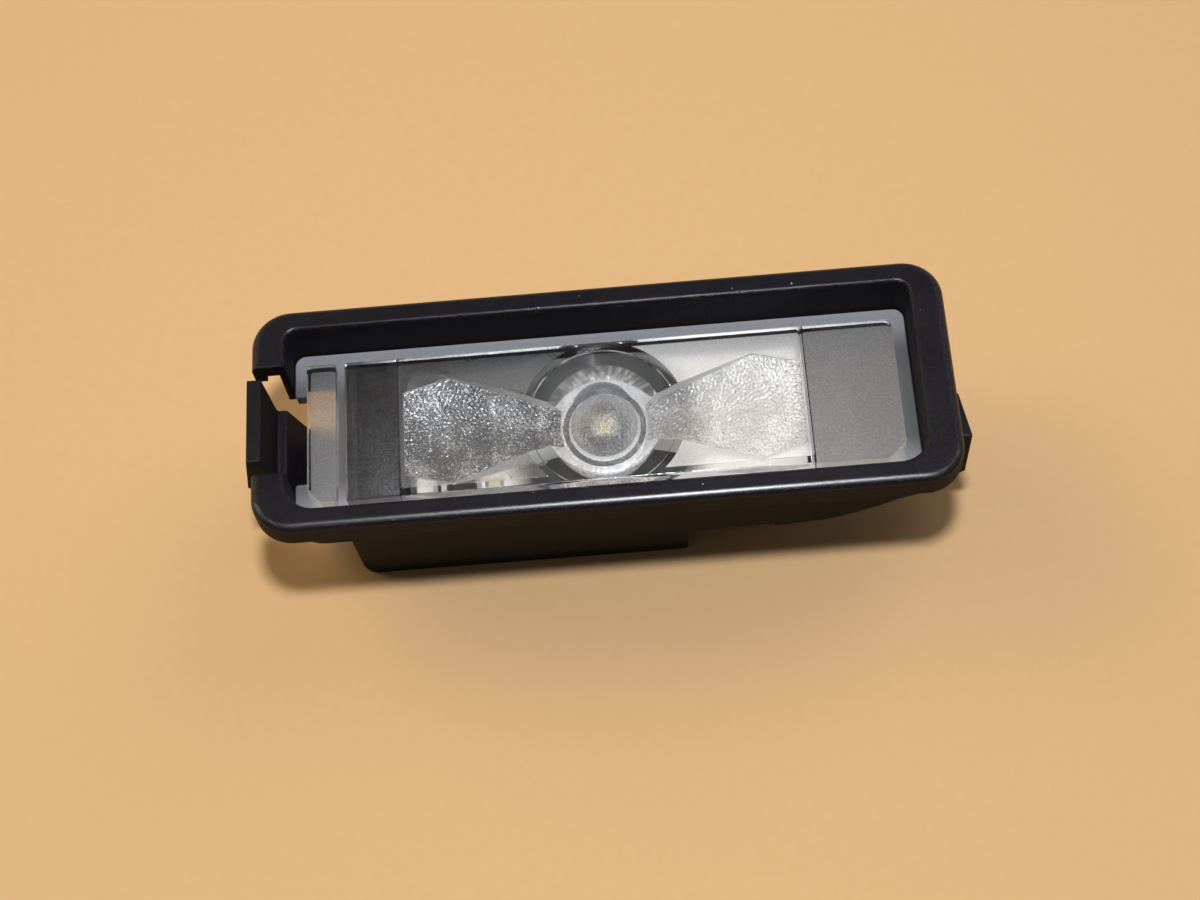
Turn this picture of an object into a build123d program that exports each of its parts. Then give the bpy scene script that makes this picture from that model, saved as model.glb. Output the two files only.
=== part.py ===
from build123d import *
import os

os.makedirs("parts", exist_ok=True)

# Driving sizes in millimetres. The lamp lies on its back, lens up, +X along its length.

# Moulded frame that is seen from outside
FRAME_LENGTH = 74.0
FRAME_WIDTH = 26.0
FRAME_CORNER_RADIUS = 4.2
FRAME_EDGE_RADIUS = 0.9
FRAME_PLATE = 2.0
RIM_DEPTH = 3.1
RIM_WALL = 1.3
FACE_HEIGHT = 18.2

# Well in the frame that holds the lens
END_BAR = 3.7
SIDE_BAR = 2.7
OPENING_FAR_RADIUS = 1.3
OPENING_NEAR_RADIUS = 3.0
OPENING_EDGE = 0.3
WELL_DRAFT = 1.2
WELL_WALL = 0.95
LENS_RECESS = 5.5
FLANGE_THICKNESS = 1.5
LEDGE_THICKNESS = 0.8

# Lamp body behind the well
BODY_INSET = 0.55
BODY_END_MARGIN = 0.1
BODY_SIDE_WALL = 1.35
BODY_DRAFT = 1.9
BODY_LEFT_RADIUS = 1.5
BODY_RIGHT_RADIUS = 3.0
BODY_HEEL_RADIUS = 2.0
BODY_TOE_RADIUS = 0.6
DEEP_RIGHT = 8.0
SHALLOW_RADIUS = 2.5
FLOOR_WALL = 0.7
DEEP_FLOOR_WALL = 1.3

# Hollow for the board and the optics
LENS_LEDGE = 1.0
CAVITY_RADIUS = 0.8
PARTITION_WALL = 1.2
END_WALL = 1.5
LEFT_POCKET = 3.4
SOCKET_BACK_WALL = 1.2

# Closed end of the well beyond the body
TAIL_FLOOR = 1.2
TAIL_GAP = 0.6
TAIL_LEDGE = 1.5

# Guide ribs under the closed end
GUIDE_RIB_THICKNESS = 1.2
GUIDE_RIB_OVERLAP = 5.7
GUIDE_RIB_FLAT = 5.0
GUIDE_RIB_END_GAP = 3.65
GUIDE_RIB_DROP = 0.9
GUIDE_RIB_BEND_DROP = 0.3
GUIDE_RIB_END_DROP = 1.5
GUIDE_RIB_BULGE = 0.35

# Notch in the end of the frame and the sprung latch in it
NOTCH_WIDTH = 12.5
LATCH_WIDTH = 9.6
TAB_OUT = 0.4
TAB_THICKNESS = 1.5
TAB_LEAN = 0.35
CATCH_OUT = 1.4
CATCH_DROP = 6.1
RAMP_DROP = 9.2
RAMP_IN = 1.0
TONGUE_THICKNESS = 1.8
TROUGH_DROP = 7.5
TROUGH_WIDTH = 1.05
TONGUE_SWEEP = 2.4
TONGUE_ROOT_HEIGHT = 1.4
TONGUE_ROOT_THICKNESS = 1.5
TONGUE_ROOT_BED = 0.8
TONGUE_OUTER_RADIUS = 1.4
TONGUE_INNER_RADIUS = 1.0
TROUGH_RADIUS = 0.35

# Fixed nose at the other end
NOSE_OUT_NEAR = 1.4
NOSE_OUT_FAR = 0.55
NOSE_NEAR = -6.6
NOSE_FAR = -1.6
NOSE_DROP = 3.6
NOSE_HEIGHT = 9.4
NOSE_ROOT = 0.6
NOSE_TOE = 0.7
NOSE_WEB_THICKNESS = 1.2
NOSE_WEB_LENGTH = 6.0
NOSE_WEB_DROP = 3.6

# Socket for the vehicle's plug, open towards +X
SOCKET_WIDTH = 10.4
SOCKET_FLOOR = 0.8
SOCKET_DEPTH = 15.5
SOCKET_CORNER_RADIUS = 0.8
SOCKET_KEY_CHAMFER = 1.2

# Terminal pins
PIN_SIZE = 0.64
PIN_PITCH = 3.0
PIN_FREE = 6.0
PIN_BACK = 0.9
PIN_RISE = 0.3
PIN_TIP = 0.18
PIN_CLEARANCE = 0.03
PIN_BEND_RADIUS = 0.3
SOLDER_RADIUS = 0.85
SOLDER_HEIGHT = 0.25
SOLDER_TOP_RADIUS = 0.48

# Circuit board, held by two staked posts
BOARD_THICKNESS = 1.0
BOARD_CLEARANCE = 0.4
BOARD_CORNER_RADIUS = 0.8
POST_INSET_X = 2.9
POST_INSET_Y = 2.7
POST_RADIUS = 0.95
POST_CLEARANCE = 0.1
POST_HEAD_RADIUS = 1.6
POST_HEAD_HEIGHT = 0.7
POST_SHOULDER_RADIUS = 2.0
SUPPORT_RIB_INSET = 7.9
SUPPORT_RIB_THICKNESS = 1.0

# Light source
LED_LENGTH = 3.4
LED_WIDTH = 3.0
LED_HEIGHT = 1.5
LED_STANDOFF = 0.1
LED_CUP_RADIUS = 1.25
LED_CUP_DEPTH = 0.8
LED_CUP_FLOOR_RADIUS = 0.95
LED_EDGE_CHAMFER = 0.15
LED_LEAD_WIDTH = 2.0
LED_LEAD_THICKNESS = 0.15
LED_LEAD_RISE = 0.8
LED_LEAD_FOOT = 0.9

# Chip parts beside the light source
RESISTOR_LENGTH = 3.2
RESISTOR_WIDTH = 1.6
RESISTOR_HEIGHT = 0.6
RESISTOR_INSET = 5.8
RESISTOR_PITCH = 2.5
RESISTOR_COUNT = 4
RESISTOR_Y = -1.6
RESISTOR_EDGE = 0.08
DIODE_INSET = 2.7
DIODE_SHIFT = 2.1
DIODE_LENGTH = 4.3
DIODE_WIDTH = 2.6
DIODE_HEIGHT = 1.05
DIODE_DRAFT = 8.0
DIODE_TAB_LENGTH = 0.5
DIODE_TAB_WIDTH = 1.4
DIODE_TAB_HEIGHT = 0.3
CAPACITOR_INSET = 6.8
CAPACITOR_SHIFT = 1.7
CAPACITOR_LENGTH = 2.0
CAPACITOR_WIDTH = 1.25
CAPACITOR_HEIGHT = 0.9
CAPACITOR_EDGE = 0.1

# Lens
LENS_CLEARANCE = 0.08
BLOCK_RISE = 1.6
BLOCK_MARGIN = 2.1
BLOCK_EDGE = 0.25
FIELD_MARGIN = 1.7
BLOCK_GROOVE = 0.95
FIELD_FAR_RADIUS = 0.9
FIELD_NEAR_CHAMFER = 1.9
STRIP_MARGIN = 1.6
STRIP_LENGTH = 3.15
STRIP_NEAR_CHAMFER = 1.5
STRIP_FAR_RADIUS = 0.4
LENS_NOTCH_WIDTH = 10.4
SCORE_INSET = 0.3
SCORE_WIDTH = 0.3
SCORE_DEPTH = 0.35

# Optics moulded on the back of the lens
OPTIC_DEPTH = 4.3
FOOT_CLEARANCE = 0.3
FOOT_RADIUS = 4.5
BOWL_RADIUS = 8.9
BOWL_LIP_WIDTH = 0.8
BOWL_LIP_DROP = 0.15
BOWL_RISER_DRAW = 0.1
BOWL_RISER_HEIGHT = 0.3
BOWL_STEP_WIDTH = 1.6
BOWL_STEP_DROP = 0.35
BOWL_WALL_BOW = 0.18
BELL_RADIUS = 3.9
BELL_HEIGHT = 3.2
WING_EMBED = 0.3
WING_WAIST_X = 3.4
WING_WAIST_HALF = 1.7
WING_WAIST_DROP = 3.8
WING_WAIST_CROWN = 0.1
WING_TAIL = 5.1
WING_PEAK_HALF = 6.2
WING_PEAK_DROP = 0.5
WING_PEAK_CROWN = 0.9
WING_END_GAP = 0.4
WING_END_HALF = 4.8
WING_END_DROP = 0.2
WING_END_CROWN = 0.6

# Levels that follow from the sizes above
FLANGE_TOP = FACE_HEIGHT - LENS_RECESS
SEAT = FLANGE_TOP - FLANGE_THICKNESS
WELL_BOTTOM = SEAT - LEDGE_THICKNESS
BLOCK_TOP = FLANGE_TOP + BLOCK_RISE
BOARD_TOP = SEAT - OPTIC_DEPTH
BOARD_SEAT = BOARD_TOP - BOARD_THICKNESS
SHALLOW_HEIGHT = BOARD_SEAT - FLOOR_WALL
FOOT = BOARD_TOP + FOOT_CLEARANCE
BOWL_LIP = SEAT - BOWL_LIP_DROP
BOWL_STEP = BOWL_LIP - BOWL_RISER_HEIGHT
BOWL_WALL_TOP = BOWL_STEP - BOWL_STEP_DROP
SOCKET_MIDDLE = (SOCKET_FLOOR + SHALLOW_HEIGHT) / 2

# Places along and across the lamp that follow from the sizes above
OPENING_LENGTH = FRAME_LENGTH - 2 * END_BAR
OPENING_WIDTH = FRAME_WIDTH - 2 * SIDE_BAR
WELL_END = OPENING_LENGTH / 2 + WELL_WALL
STRIP_LEFT = STRIP_MARGIN - OPENING_LENGTH / 2
STRIP_RIGHT = STRIP_LEFT + STRIP_LENGTH
FIELD_LEFT = STRIP_RIGHT + BLOCK_GROOVE
FIELD_RIGHT = OPENING_LENGTH / 2 - FIELD_MARGIN
BLOCK_WIDTH = OPENING_WIDTH - 2 * BLOCK_MARGIN
BODY_LEFT = STRIP_RIGHT + BODY_INSET
CAVITY_HALF = -(BODY_LEFT + END_WALL + LEFT_POCKET + PARTITION_WALL)
CAVITY_WIDTH = OPENING_WIDTH - 2 * LENS_LEDGE
BODY_RIGHT = CAVITY_HALF + PARTITION_WALL + BODY_END_MARGIN
BODY_WIDTH = CAVITY_WIDTH + 2 * BODY_SIDE_WALL
SOCKET_BACK = DEEP_RIGHT - SOCKET_DEPTH
PIN_X = SOCKET_BACK + PIN_BACK
POST_X = CAVITY_HALF - POST_INSET_X
POST_Y = CAVITY_WIDTH / 2 - POST_INSET_Y
WING_END_X = CAVITY_HALF - WING_END_GAP
WING_PEAK_X = WING_END_X - WING_TAIL
SCORE_X = CAVITY_HALF - SCORE_INSET
BOWL_LIP_RADIUS = BOWL_RADIUS - BOWL_LIP_WIDTH
BOWL_STEP_RADIUS = BOWL_LIP_RADIUS - BOWL_RISER_DRAW
BOWL_WALL_RADIUS = BOWL_STEP_RADIUS - BOWL_STEP_WIDTH
OVERCUT = 1.0


def block(x0, x1, y0, y1, z0, z1):
    """A plain block between two corners."""
    size = Box(x1 - x0, y1 - y0, z1 - z0)
    return Pos((x0 + x1) / 2, (y0 + y1) / 2, (z0 + z1) / 2) * size


def upright(points, half_width):
    """A side outline in X and Z, carried the same way to both sides of Y."""
    face = Plane.XZ * make_face(Polyline(*points, close=True))
    return extrude(face, amount=half_width, both=True)


def opening_outline(grow):
    """The lens opening seen from the front, its two near corners the rounder."""
    face = Rectangle(OPENING_LENGTH + 2 * grow, OPENING_WIDTH + 2 * grow)
    face = fillet(face.vertices().sort_by(Axis.Y)[-2:], OPENING_FAR_RADIUS + grow)
    return fillet(face.vertices().sort_by(Axis.Y)[:2], OPENING_NEAR_RADIUS + grow)


def frame_and_well():
    """The outside frame with its turned-down rim and the walls of the well."""
    outline = RectangleRounded(FRAME_LENGTH, FRAME_WIDTH, FRAME_CORNER_RADIUS)
    frame = extrude(Pos(0, 0, FACE_HEIGHT - RIM_DEPTH) * outline, RIM_DEPTH)
    frame = fillet(frame.edges().group_by(Axis.Z)[-1], FRAME_EDGE_RADIUS)
    channel = RectangleRounded(
        FRAME_LENGTH - 2 * RIM_WALL,
        FRAME_WIDTH - 2 * RIM_WALL,
        FRAME_CORNER_RADIUS - RIM_WALL,
    )
    channel_depth = RIM_DEPTH - FRAME_PLATE
    frame -= extrude(Pos(0, 0, FACE_HEIGHT - RIM_DEPTH) * channel, channel_depth)
    well_height = FACE_HEIGHT - FRAME_PLATE / 2 - WELL_BOTTOM
    frame += extrude(Pos(0, 0, WELL_BOTTOM) * opening_outline(WELL_WALL), well_height)
    frame -= extrude(
        Pos(0, 0, SEAT) * opening_outline(0),
        FACE_HEIGHT - SEAT + OVERCUT,
        taper=-WELL_DRAFT,
    )
    face = frame.faces().sort_by(Axis.Z)[-1]
    return chamfer(face.inner_wires()[0].edges(), OPENING_EDGE)


def lamp_body():
    """The deep box with the socket and the shallower box beside it, with draft."""
    top = WELL_BOTTOM + LEDGE_THICKNESS / 2
    side = make_face(
        Polyline(
            (BODY_LEFT, 0),
            (DEEP_RIGHT, 0),
            (DEEP_RIGHT, SHALLOW_HEIGHT),
            (BODY_RIGHT, SHALLOW_HEIGHT),
            (BODY_RIGHT + OVERCUT, top),
            (BODY_LEFT - OVERCUT, top),
            close=True,
        )
    )
    corners = side.vertices()
    side = fillet(corners.sort_by_distance((BODY_LEFT, 0))[0], BODY_HEEL_RADIUS)
    corners = side.vertices()
    side = fillet(corners.sort_by_distance((DEEP_RIGHT, 0))[0], BODY_TOE_RADIUS)
    corners = side.vertices()
    side = fillet(
        corners.sort_by_distance((BODY_RIGHT, SHALLOW_HEIGHT))[0], SHALLOW_RADIUS
    )
    long_side = extrude(Plane.XZ * side, FRAME_WIDTH / 2, both=True)
    plan = Rectangle(BODY_RIGHT - BODY_LEFT, BODY_WIDTH)
    plan = fillet(plan.vertices().sort_by(Axis.X)[:2], BODY_LEFT_RADIUS)
    plan = fillet(plan.vertices().sort_by(Axis.X)[-2:], BODY_RIGHT_RADIUS)
    plan = Pos((BODY_LEFT + BODY_RIGHT) / 2, 0) * plan
    return extrude(plan, top, taper=-BODY_DRAFT) & long_side


def cavity_cuts():
    """The hollows for board and optics, the two cored pockets and the tail gap."""
    half = CAVITY_HALF
    wide = CAVITY_WIDTH / 2
    outline = RectangleRounded(2 * half, CAVITY_WIDTH, CAVITY_RADIUS)
    cuts = extrude(Pos(0, 0, BOARD_SEAT) * outline, SEAT - BOARD_SEAT + OVERCUT)
    low_right = SOCKET_BACK - SOCKET_BACK_WALL
    cuts += block(-half, low_right, -wide, wide, DEEP_FLOOR_WALL, BOARD_SEAT)
    left = BODY_LEFT + END_WALL
    right = -half - PARTITION_WALL
    cuts += block(left, right, -wide, wide, DEEP_FLOOR_WALL, SEAT + OVERCUT)
    tail_left = half + PARTITION_WALL
    tail_right = OPENING_LENGTH / 2 - TAIL_LEDGE
    cuts += block(tail_left, tail_right, -wide, wide, SEAT - TAIL_GAP, SEAT + OVERCUT)
    return cuts


def tail():
    """The closed floor under the right pad of the lens, with a guide rib each side."""
    floor_bottom = SEAT - TAIL_GAP - TAIL_FLOOR
    half = CAVITY_WIDTH / 2 + GUIDE_RIB_THICKNESS
    floor = block(CAVITY_HALF, WELL_END, -half, half, floor_bottom, SEAT - TAIL_GAP)
    start = (BODY_RIGHT - GUIDE_RIB_OVERLAP, SHALLOW_HEIGHT - GUIDE_RIB_DROP)
    bend = (start[0] + GUIDE_RIB_FLAT, SHALLOW_HEIGHT - GUIDE_RIB_BEND_DROP)
    end = (WELL_END - GUIDE_RIB_END_GAP, WELL_BOTTOM - GUIDE_RIB_END_DROP)
    middle = (
        (bend[0] + end[0]) / 2 + GUIDE_RIB_BULGE,
        (bend[1] + end[1]) / 2 - GUIDE_RIB_BULGE,
    )
    lower_edge = [
        Line(start, bend),
        ThreePointArc(bend, middle, end),
        Polyline(end, (WELL_END, WELL_BOTTOM), (start[0], WELL_BOTTOM), start),
    ]
    rib_face = Plane.XZ * make_face(Curve() + lower_edge)
    rib = extrude(rib_face, GUIDE_RIB_THICKNESS / 2, both=True)
    rib_y = (BODY_WIDTH - GUIDE_RIB_THICKNESS) / 2
    return floor + Pos(0, rib_y, 0) * rib + Pos(0, -rib_y, 0) * rib


def latch():
    """The sprung latch: a tab and catch on a tongue that is rooted low on the body."""
    outer = -FRAME_LENGTH / 2 - TAB_OUT
    inner = outer + TAB_THICKNESS
    trough_left = inner + TAB_LEAN
    trough_right = trough_left + TROUGH_WIDTH
    trough = FACE_HEIGHT - TROUGH_DROP
    root_top = TONGUE_ROOT_HEIGHT + TONGUE_ROOT_THICKNESS
    heel = (trough_right + TONGUE_SWEEP, root_top)
    toe = (heel[0] - TONGUE_THICKNESS, TONGUE_ROOT_HEIGHT)
    ramp_end = (outer + RAMP_IN, FACE_HEIGHT - RAMP_DROP)
    root = BODY_LEFT + TONGUE_ROOT_BED
    face = make_face(
        Polyline(
            (outer, FACE_HEIGHT),
            (-FRAME_LENGTH / 2 - CATCH_OUT, FACE_HEIGHT - CATCH_DROP),
            ramp_end,
            toe,
            (root, TONGUE_ROOT_HEIGHT),
            (root, root_top),
            heel,
            (trough_right, trough),
            (trough_left, trough),
            (inner, FACE_HEIGHT),
            close=True,
        )
    )
    face = fillet(face.vertices().sort_by_distance(toe)[0], TONGUE_OUTER_RADIUS)
    face = fillet(face.vertices().sort_by_distance(heel)[0], TONGUE_INNER_RADIUS)
    for corner in ((trough_left, trough), (trough_right, trough)):
        face = fillet(face.vertices().sort_by_distance(corner)[0], TROUGH_RADIUS)
    return extrude(Plane.XZ * face, LATCH_WIDTH / 2, both=True)


def nose():
    """The fixed nose at the right end, set to the near side, with a web behind it."""
    root = WELL_END - NOSE_ROOT
    half = FRAME_LENGTH / 2
    top = FACE_HEIGHT - NOSE_DROP
    bottom = top - NOSE_HEIGHT
    plan = make_face(
        Polyline(
            (root, NOSE_FAR),
            (half + NOSE_OUT_FAR, NOSE_FAR),
            (half + NOSE_OUT_NEAR, NOSE_NEAR),
            (root, NOSE_NEAR),
            close=True,
        )
    )
    lug = extrude(Pos(0, 0, bottom) * plan, NOSE_HEIGHT)
    toe_edge = lug.edges().group_by(Axis.Z)[0].sort_by(Axis.X)[-1]
    lug = chamfer(toe_edge, NOSE_TOE)
    web_points = (
        (root - NOSE_WEB_LENGTH, WELL_BOTTOM),
        (root + NOSE_ROOT, WELL_BOTTOM),
        (root + NOSE_ROOT, WELL_BOTTOM - NOSE_WEB_DROP),
    )
    web = upright(web_points, NOSE_WEB_THICKNESS / 2)
    return lug + Pos(0, (NOSE_NEAR + NOSE_FAR) / 2, 0) * web


def socket_cut():
    """The hollow that the plug goes into, its two lower corners cut off as a key."""
    height = SHALLOW_HEIGHT - SOCKET_FLOOR
    mouth = Rectangle(SOCKET_WIDTH, height)
    mouth = fillet(mouth.vertices().group_by(Axis.Y)[-1], SOCKET_CORNER_RADIUS)
    mouth = chamfer(mouth.vertices().group_by(Axis.Y)[0], SOCKET_KEY_CHAMFER)
    hollow = extrude(Plane.YZ * mouth, SOCKET_DEPTH + OVERCUT)
    return Pos(SOCKET_BACK, 0, SOCKET_MIDDLE) * hollow


def pin_holes():
    """Square holes for the pins through the roof of the socket."""
    half = PIN_SIZE / 2 + PIN_CLEARANCE
    holes = Part()
    for side in (-1, 1):
        y = side * PIN_PITCH / 2
        holes += block(
            PIN_X - half, PIN_X + half, y - half, y + half, SOCKET_MIDDLE, BOARD_TOP
        )
    return holes


def posts():
    """Shouldered posts that carry the board, their heads staked over it."""
    made = Part()
    for side in (-1, 1):
        low = Cylinder(POST_SHOULDER_RADIUS, BOARD_SEAT - DEEP_FLOOR_WALL / 2)
        pin = Cylinder(POST_RADIUS, BOARD_THICKNESS + POST_HEAD_HEIGHT)
        head = Cone(
            POST_HEAD_RADIUS,
            POST_RADIUS,
            POST_HEAD_HEIGHT,
        )
        x, y = side * POST_X, -side * POST_Y
        if side < 0:
            made += Pos(x, y, (BOARD_SEAT + DEEP_FLOOR_WALL / 2) / 2) * low
        pin_middle = BOARD_SEAT + (BOARD_THICKNESS + POST_HEAD_HEIGHT) / 2
        made += Pos(x, y, pin_middle) * pin
        made += Pos(x, y, BOARD_TOP + POST_HEAD_HEIGHT / 2) * head
    rib_x = SUPPORT_RIB_INSET - CAVITY_HALF
    rib_half = SUPPORT_RIB_THICKNESS / 2
    made += block(
        rib_x - rib_half,
        rib_x + rib_half,
        -CAVITY_WIDTH / 2,
        CAVITY_WIDTH / 2,
        DEEP_FLOOR_WALL / 2,
        BOARD_SEAT,
    )
    return made


def housing():
    """The black one-piece moulding: frame, well, body, latch, nose and socket."""
    made = frame_and_well() + lamp_body() + tail()
    made -= cavity_cuts()
    made -= socket_cut()
    made -= pin_holes()
    half = NOTCH_WIDTH / 2
    low = WELL_BOTTOM - OVERCUT
    high = FACE_HEIGHT + OVERCUT
    notch_left = -FRAME_LENGTH / 2 - OVERCUT
    made -= block(notch_left, BODY_LEFT - PARTITION_WALL / 2, -half, half, low, high)
    made += latch()
    made += nose()
    made += posts()
    return made


def lens_blocks():
    """The two raised blocks on the front of the lens, with cut near corners."""
    half = BLOCK_WIDTH / 2
    field = Rectangle(FIELD_RIGHT - FIELD_LEFT, BLOCK_WIDTH)
    corners = field.vertices().group_by(Axis.X)[-1].sort_by(Axis.Y)
    field = fillet(corners[-1], FIELD_FAR_RADIUS)
    near = field.vertices().sort_by_distance(((FIELD_RIGHT - FIELD_LEFT) / 2, -half))
    field = chamfer(near[0], FIELD_NEAR_CHAMFER)
    field = Pos((FIELD_LEFT + FIELD_RIGHT) / 2, 0) * field
    strip = Rectangle(STRIP_RIGHT - STRIP_LEFT, BLOCK_WIDTH)
    near = strip.vertices().sort_by_distance(((STRIP_LEFT - STRIP_RIGHT) / 2, -half))
    strip = chamfer(near[0], STRIP_NEAR_CHAMFER)
    far = strip.vertices().sort_by_distance(((STRIP_LEFT - STRIP_RIGHT) / 2, half))
    strip = fillet(far[0], STRIP_FAR_RADIUS)
    strip = Pos((STRIP_LEFT + STRIP_RIGHT) / 2, 0) * strip
    made = Part()
    for face in (field, strip):
        raised = extrude(Pos(0, 0, SEAT) * face, BLOCK_TOP - SEAT)
        made += chamfer(raised.edges().group_by(Axis.Z)[-1], BLOCK_EDGE)
    score_half = SCORE_WIDTH / 2
    score_low = BLOCK_TOP - SCORE_DEPTH
    score_high = BLOCK_TOP + OVERCUT
    made -= block(
        SCORE_X - score_half, SCORE_X + score_half, -half, half, score_low, score_high
    )
    return made


def wing_section(x, half, drop, crown):
    """One cross-section of a wing: flat top in the lens, crowned stippled underside."""
    top = SEAT + WING_EMBED
    edge = SEAT - drop
    sides = Polyline((half, edge), (half, top), (-half, top), (-half, edge))
    under = ThreePointArc((-half, edge), (0, edge - crown), (half, edge))
    return Pos(x, 0, 0) * (Plane.YZ * make_face(Curve() + [sides, under]))


def optics():
    """Bowl and two spreading wings behind the lens, with the bell over the light."""
    wall_middle = (
        (FOOT_RADIUS + BOWL_WALL_RADIUS) / 2 + BOWL_WALL_BOW,
        (FOOT + BOWL_WALL_TOP) / 2,
    )
    profile = [
        Polyline(
            (0, SEAT + WING_EMBED),
            (BOWL_RADIUS, SEAT + WING_EMBED),
            (BOWL_RADIUS, SEAT),
            (BOWL_LIP_RADIUS, BOWL_LIP),
            (BOWL_STEP_RADIUS, BOWL_STEP),
            (BOWL_WALL_RADIUS, BOWL_WALL_TOP),
        ),
        ThreePointArc(
            (BOWL_WALL_RADIUS, BOWL_WALL_TOP),
            wall_middle,
            (FOOT_RADIUS, FOOT),
        ),
        Polyline((FOOT_RADIUS, FOOT), (0, FOOT), (0, SEAT + WING_EMBED)),
    ]
    made = revolve(Plane.XZ * make_face(Curve() + profile), Axis.Z)
    right = loft(
        [
            wing_section(
                WING_WAIST_X, WING_WAIST_HALF, WING_WAIST_DROP, WING_WAIST_CROWN
            ),
            wing_section(WING_PEAK_X, WING_PEAK_HALF, WING_PEAK_DROP, WING_PEAK_CROWN),
            wing_section(WING_END_X, WING_END_HALF, WING_END_DROP, WING_END_CROWN),
        ],
        ruled=True,
    )
    made += right
    made += mirror(right, Plane.YZ)
    return made


def bell_cut():
    """The domed hollow over the light source, a cap of a sphere."""
    ball = (BELL_RADIUS**2 + BELL_HEIGHT**2) / (2 * BELL_HEIGHT)
    return Pos(0, 0, FOOT + BELL_HEIGHT - ball) * Sphere(ball)


def lens():
    """The clear moulding: flange, raised blocks, bowl, wings and bell."""
    flange = extrude(Pos(0, 0, SEAT) * opening_outline(-LENS_CLEARANCE), FLANGE_THICKNESS)
    half = LENS_NOTCH_WIDTH / 2
    left = -OPENING_LENGTH / 2 - OVERCUT
    right = (STRIP_LEFT + STRIP_RIGHT) / 2
    flange -= block(left, right, -half, half, SEAT - OVERCUT, BLOCK_TOP)
    return flange + lens_blocks() + optics() - bell_cut()


def circuit_board():
    """The board, with holes for the two pins and the two posts."""
    plan = RectangleRounded(
        2 * (CAVITY_HALF - BOARD_CLEARANCE),
        CAVITY_WIDTH - 2 * BOARD_CLEARANCE,
        BOARD_CORNER_RADIUS,
    )
    made = extrude(Pos(0, 0, BOARD_SEAT) * plan, BOARD_THICKNESS)
    middle = BOARD_SEAT + BOARD_THICKNESS / 2
    hole = Cylinder(POST_RADIUS + POST_CLEARANCE, BOARD_THICKNESS + OVERCUT)
    for side in (-1, 1):
        made -= Pos(side * POST_X, -side * POST_Y, middle) * hole
    return made - Pos(0, 0, OVERCUT) * pin_holes() - pin_holes()


def terminal_pin(side):
    """A square pin bent once: up through the board, out along the socket."""
    y = side * PIN_PITCH / 2
    half = PIN_SIZE / 2
    tip = DEEP_RIGHT - PIN_FREE
    bottom = SOCKET_MIDDLE - half
    upper = block(PIN_X - half, PIN_X + half, y - half, y + half, bottom, BOARD_TOP + PIN_RISE)
    lower = block(PIN_X - half, tip, y - half, y + half, bottom, SOCKET_MIDDLE + half)
    lower = chamfer(lower.faces().sort_by(Axis.X)[-1].edges(), PIN_TIP)
    made = upper + lower
    bend = made.edges().filter_by(Axis.Y).sort_by_distance((PIN_X - half, y, bottom))[0]
    return fillet(bend, PIN_BEND_RADIUS)


def solder_joint(side):
    """The solder collar round a pin on top of the board."""
    y = side * PIN_PITCH / 2
    half = PIN_SIZE / 2
    collar = Cone(SOLDER_RADIUS, SOLDER_TOP_RADIUS, SOLDER_HEIGHT)
    collar = Pos(PIN_X, y, BOARD_TOP + SOLDER_HEIGHT / 2) * collar
    high = BOARD_TOP + OVERCUT
    return collar - block(PIN_X - half, PIN_X + half, y - half, y + half, BOARD_SEAT, high)


def led_cup():
    """The cone-shaped cup of the light source, filled with phosphor."""
    cup = Cone(LED_CUP_FLOOR_RADIUS, LED_CUP_RADIUS, LED_CUP_DEPTH)
    top = BOARD_TOP + LED_STANDOFF + LED_HEIGHT
    return Pos(0, 0, top - LED_CUP_DEPTH / 2) * cup


def led_lead(side):
    """One folded lead: foot on the board, leg up the end of the package."""
    end = LED_LENGTH / 2
    half = LED_LEAD_WIDTH / 2
    thick = LED_LEAD_THICKNESS
    leg = block(end, end + thick, -half, half, BOARD_TOP, BOARD_TOP + LED_LEAD_RISE)
    foot = block(
        end - LED_LEAD_FOOT, end + thick, -half, half, BOARD_TOP, BOARD_TOP + LED_STANDOFF
    )
    made = leg + foot
    return made if side > 0 else mirror(made, Plane.YZ)


def led_package():
    """The white package of the light source, without its cup."""
    middle = BOARD_TOP + LED_STANDOFF + LED_HEIGHT / 2
    made = Pos(0, 0, middle) * Box(LED_LENGTH, LED_WIDTH, LED_HEIGHT)
    made = chamfer(made.edges().filter_by(Axis.Z), LED_EDGE_CHAMFER)
    return made - led_cup()


def resistor(number):
    """One chip resistor of the row on the left half of the board."""
    y = RESISTOR_Y + number * RESISTOR_PITCH
    made = Box(RESISTOR_LENGTH, RESISTOR_WIDTH, RESISTOR_HEIGHT)
    made = chamfer(made.edges(), RESISTOR_EDGE)
    return Pos(RESISTOR_INSET - POST_X, y, BOARD_TOP + RESISTOR_HEIGHT / 2) * made


def diode():
    """The reverse-voltage diode: a drafted body with a metal tab at each end."""
    plan = Rectangle(DIODE_LENGTH, DIODE_WIDTH)
    body = extrude(Pos(0, 0, BOARD_TOP) * plan, DIODE_HEIGHT, taper=DIODE_DRAFT)
    tabs = Box(DIODE_LENGTH + 2 * DIODE_TAB_LENGTH, DIODE_TAB_WIDTH, DIODE_TAB_HEIGHT)
    made = body + Pos(0, 0, BOARD_TOP + DIODE_TAB_HEIGHT / 2) * tabs
    return Pos(DIODE_INSET - POST_X, DIODE_SHIFT - POST_Y, 0) * made


def capacitor():
    """The chip capacitor across the supply."""
    made = Box(CAPACITOR_LENGTH, CAPACITOR_WIDTH, CAPACITOR_HEIGHT)
    made = chamfer(made.edges(), CAPACITOR_EDGE)
    middle = BOARD_TOP + CAPACITOR_HEIGHT / 2
    return Pos(CAPACITOR_INSET - POST_X, CAPACITOR_SHIFT - POST_Y, middle) * made


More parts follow.
